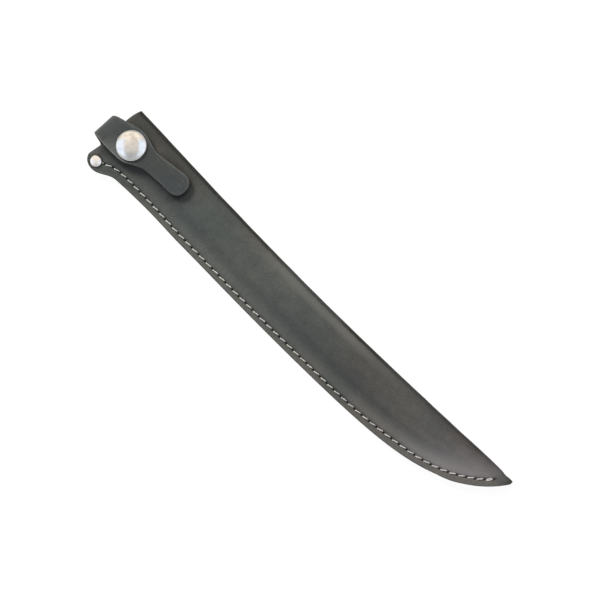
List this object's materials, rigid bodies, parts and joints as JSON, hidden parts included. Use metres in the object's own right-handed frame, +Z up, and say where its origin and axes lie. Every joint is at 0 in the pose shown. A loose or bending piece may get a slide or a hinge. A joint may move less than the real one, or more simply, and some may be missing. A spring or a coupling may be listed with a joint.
{
  "type": "knife blade guard",
  "caption": "Folded leather blade guard for a long slicing knife, stitched along its curved edge, with a riveted corner and a snap strap over its mouth.",
  "frame": {"origin": "middle of the blade slot, at the mouth of the case", "axes": "+X from the mouth to the point, +Y to the folded edge, +Z up through the snap"},
  "size_m": [0.272, 0.0383, 0.0159],
  "materials": {
    "case_leather": "waxed dark grey-brown leather, matte with a soft sheen, paler towards the point",
    "strap_leather": "waxed dark grey leather, slightly cooler than the case, with a paler cut edge",
    "welt_leather": "raw edge of dark leather between the two leaves",
    "thread": "waxed grey-beige twisted thread",
    "nickel": "polished nickel",
    "plated_steel": "nickel-plated stamped steel",
    "spring_steel": "drawn spring wire"
  },
  "bodies": {
    "case": {"sheath_body": "case_leather", "welt": "welt_leather", "needle_thread": "thread", "bobbin_thread": "thread", "rivet_cap": "nickel", "rivet_post": "nickel", "snap_stud": "plated_steel", "stud_eyelet": "plated_steel", "strap_bend": "strap_leather"},
    "strap": {"strap_flap": "strap_leather", "snap_cap": "nickel", "snap_socket": "plated_steel", "snap_spring": "spring_steel"}
  },
  "joints": [
    {"name": "strap_fold", "type": "hinge", "parent": "case", "child": "strap", "pos_m": [-0.00045, -0.00027, 0.0022], "axis": [-0.0506, -0.9987, 0], "range_deg": [0, 165], "deforming": ["strap_bend"]}
  ]
}
